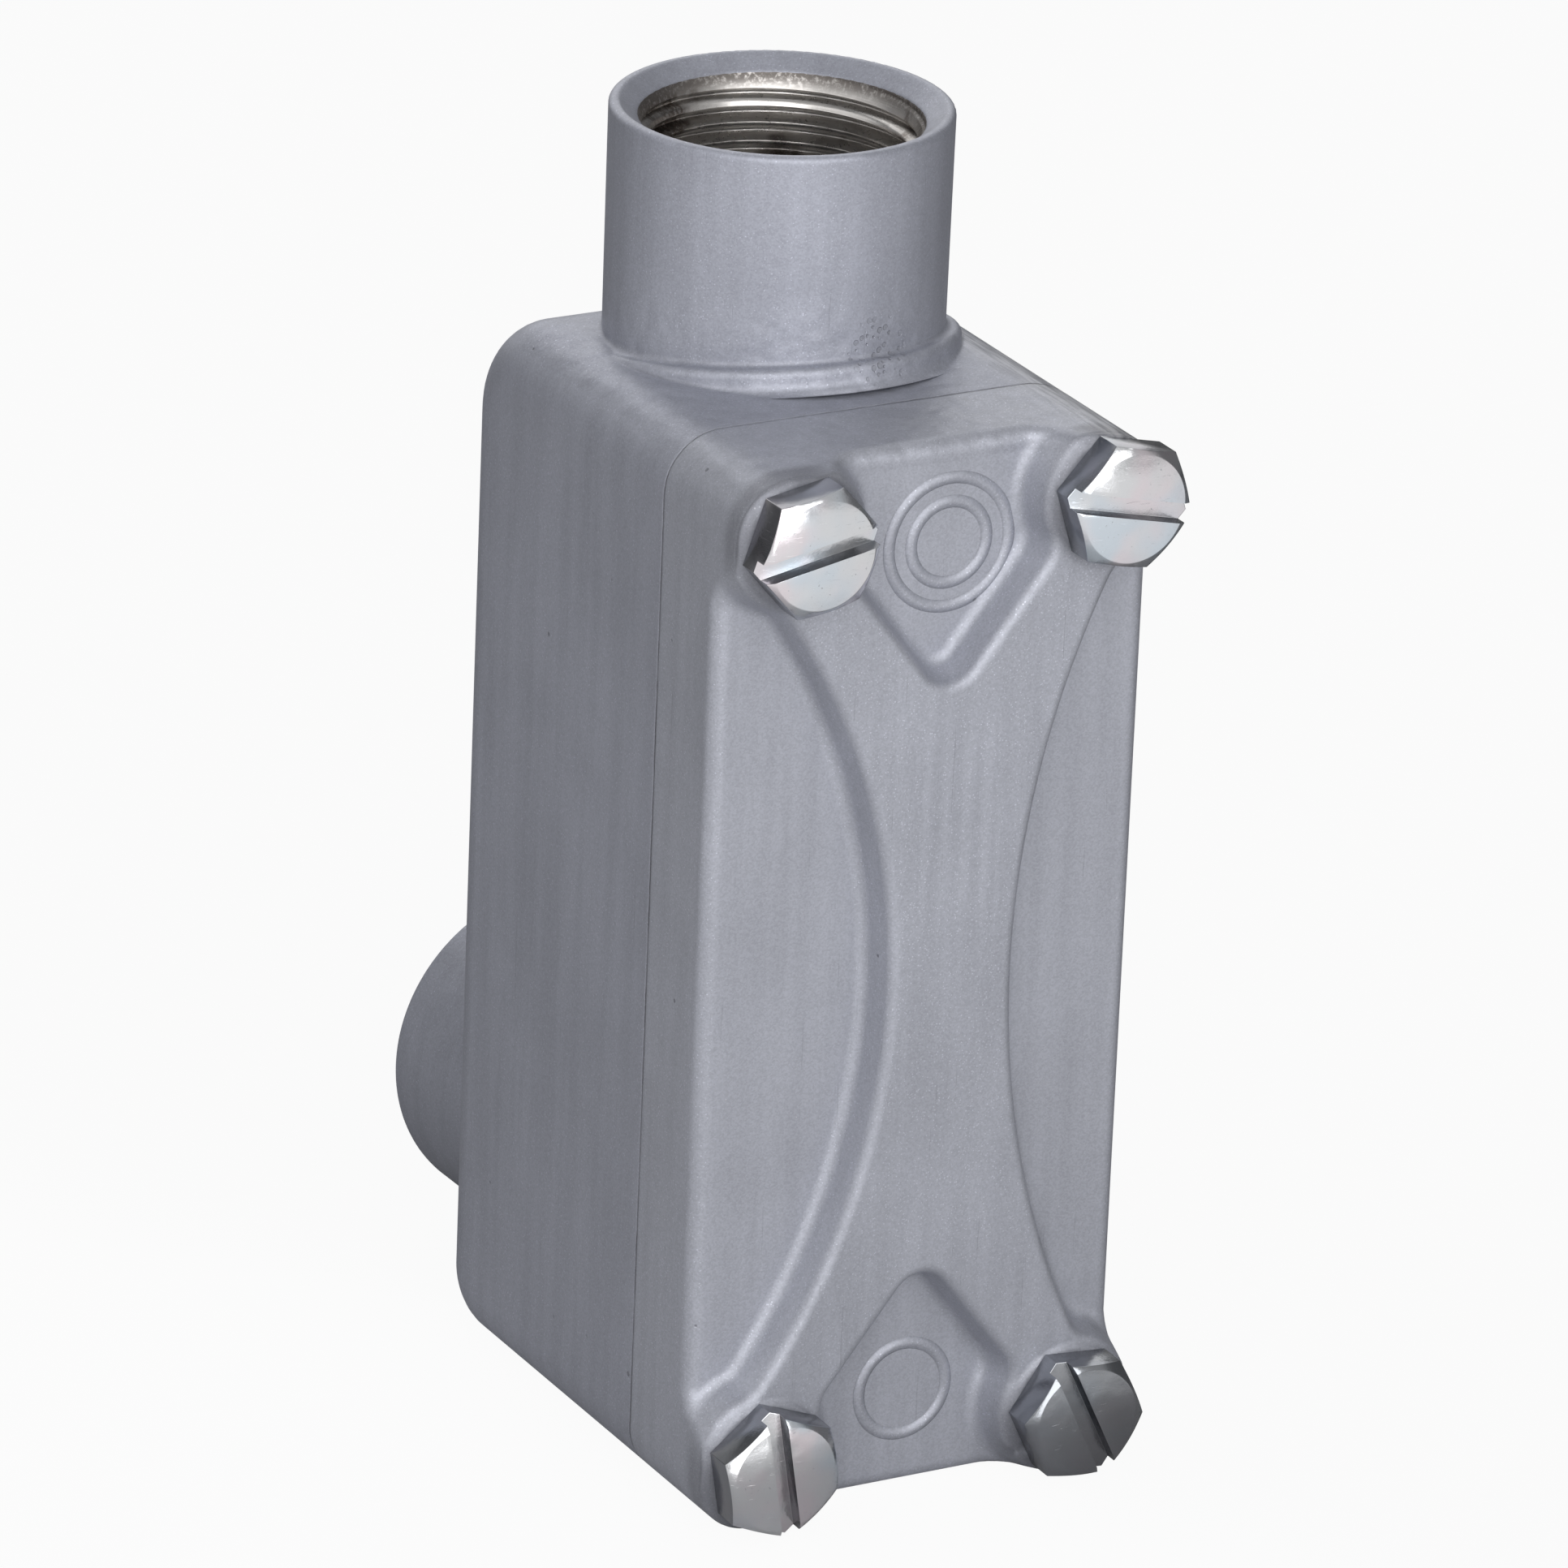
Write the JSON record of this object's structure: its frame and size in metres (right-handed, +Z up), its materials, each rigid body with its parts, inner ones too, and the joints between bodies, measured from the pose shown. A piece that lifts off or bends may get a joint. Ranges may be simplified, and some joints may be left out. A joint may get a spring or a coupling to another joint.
{
  "type": "conduit body",
  "caption": "Explosion-proof elbow conduit body: hollow painted casting with threaded hubs on top and at the back, thick relief cover and slotted hex-head cover screws.",
  "frame": {"origin": "on the flat bottom, straight below the top hub's axis", "axes": "+Z up along the top hub's axis, +Y back along the rear hub's axis, -Y out of the cover, X across the width"},
  "size_m": [0.045, 0.0805, 0.1259],
  "materials": {
    "casting_paint": "grey metallic-flake paint over a sand-cast skin",
    "cover_paint": "grey metallic-flake paint over a sand-cast skin",
    "screw_zinc": "bright zinc plate with faint rainbow tints"
  },
  "bodies": {
    "casting": {"conduit_body": "casting_paint"},
    "cover": {"cover": "cover_paint"},
    "screw_top_left": {"cover_screw_top_left": "screw_zinc"},
    "screw_top_right": {"cover_screw_top_right": "screw_zinc"},
    "screw_bottom_left": {"cover_screw_bottom_left": "screw_zinc"},
    "screw_bottom_right": {"cover_screw_bottom_right": "screw_zinc"}
  },
  "joints": [
    {"name": "cover_lift_off", "type": "slide", "parent": "casting", "child": "cover", "axis": [0, -1, 0], "range_m": [0, 0.05]},
    {"name": "screw_top_left_out", "type": "slide", "parent": "cover", "child": "screw_top_left", "axis": [0, -1, 0], "range_m": [0, 0.03]},
    {"name": "screw_top_right_out", "type": "slide", "parent": "cover", "child": "screw_top_right", "axis": [0, -1, 0], "range_m": [0, 0.03]},
    {"name": "screw_bottom_left_out", "type": "slide", "parent": "cover", "child": "screw_bottom_left", "axis": [0, -1, 0], "range_m": [0, 0.03]},
    {"name": "screw_bottom_right_out", "type": "slide", "parent": "cover", "child": "screw_bottom_right", "axis": [0, -1, 0], "range_m": [0, 0.03]}
  ]
}
